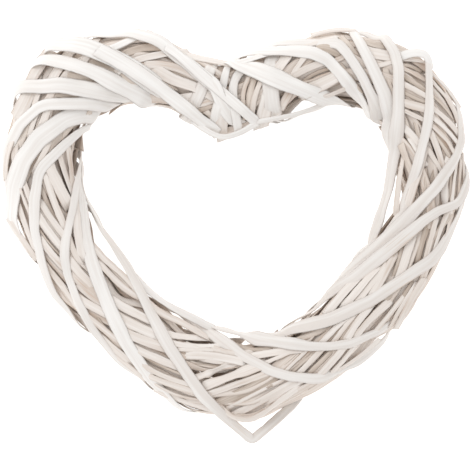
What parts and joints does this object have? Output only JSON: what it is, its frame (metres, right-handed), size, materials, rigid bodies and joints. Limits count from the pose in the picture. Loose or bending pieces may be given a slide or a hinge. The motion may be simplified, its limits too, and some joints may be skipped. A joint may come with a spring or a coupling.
{
  "type": "heart-shaped wreath frame",
  "caption": "Heart-shaped open ring wound from flat split willow strips, washed white, as a base for a wreath or as a hanging ornament.",
  "frame": {"origin": "middle of the heart's width and height on the plane that its back lies on", "axes": "+X across the heart, +Y from its tip towards its notch, +Z out of its front"},
  "size_m": [0.2998, 0.2668, 0.0465],
  "materials": {
    "washed_willow": "white wash, matt",
    "thinly_washed_willow": "thin white wash through which the wood shows, matt",
    "bare_willow": "bare split wood, dark"
  },
  "bodies": {
    "root": {"core_runner_1": "bare_willow", "core_runner_2": "bare_willow", "core_runner_3": "bare_willow", "core_runner_4": "bare_willow", "lining_strip_01": "thinly_washed_willow", "lining_strip_02": "thinly_washed_willow", "lining_strip_03": "thinly_washed_willow", "lining_strip_04": "thinly_washed_willow", "lining_strip_05": "thinly_washed_willow", "lining_strip_06": "thinly_washed_willow", "lining_strip_07": "thinly_washed_willow", "lining_strip_08": "thinly_washed_willow", "lining_strip_09": "thinly_washed_willow", "lining_strip_10": "thinly_washed_willow", "lining_strip_11": "thinly_washed_willow", "lining_strip_12": "thinly_washed_willow", "lining_strip_13": "thinly_washed_willow", "lining_strip_14": "thinly_washed_willow", "lining_strip_15": "thinly_washed_willow", "cross_strip_1": "thinly_washed_willow", "cross_strip_2": "thinly_washed_willow", "cross_strip_3": "thinly_washed_willow", "cross_strip_4": "thinly_washed_willow", "cross_strip_5": "thinly_washed_willow", "cross_strip_6": "thinly_washed_willow", "cross_strip_7": "thinly_washed_willow", "cross_strip_8": "thinly_washed_willow", "cross_strip_9": "thinly_washed_willow", "notch_binding_1": "washed_willow", "notch_binding_2": "washed_willow", "notch_binding_3": "washed_willow", "wrap_strip_01": "washed_willow", "wrap_strip_02": "washed_willow", "wrap_strip_03": "washed_willow", "wrap_strip_04": "washed_willow", "wrap_strip_05": "washed_willow", "wrap_strip_06": "washed_willow", "wrap_strip_07": "washed_willow", "wrap_strip_08": "washed_willow", "wrap_strip_09": "washed_willow", "wrap_strip_10": "washed_willow", "wrap_strip_11": "washed_willow", "wrap_strip_12": "washed_willow", "wrap_strip_13": "washed_willow", "wrap_strip_14": "washed_willow", "wrap_strip_15": "washed_willow", "wrap_strip_16": "washed_willow", "wrap_strip_17": "washed_willow", "wrap_strip_18": "washed_willow", "wrap_strip_19": "washed_willow", "wrap_strip_20": "washed_willow", "folded_tip_strip": "washed_willow", "rim_strip_1": "washed_willow", "rim_strip_2": "washed_willow"}
  },
  "joints": []
}
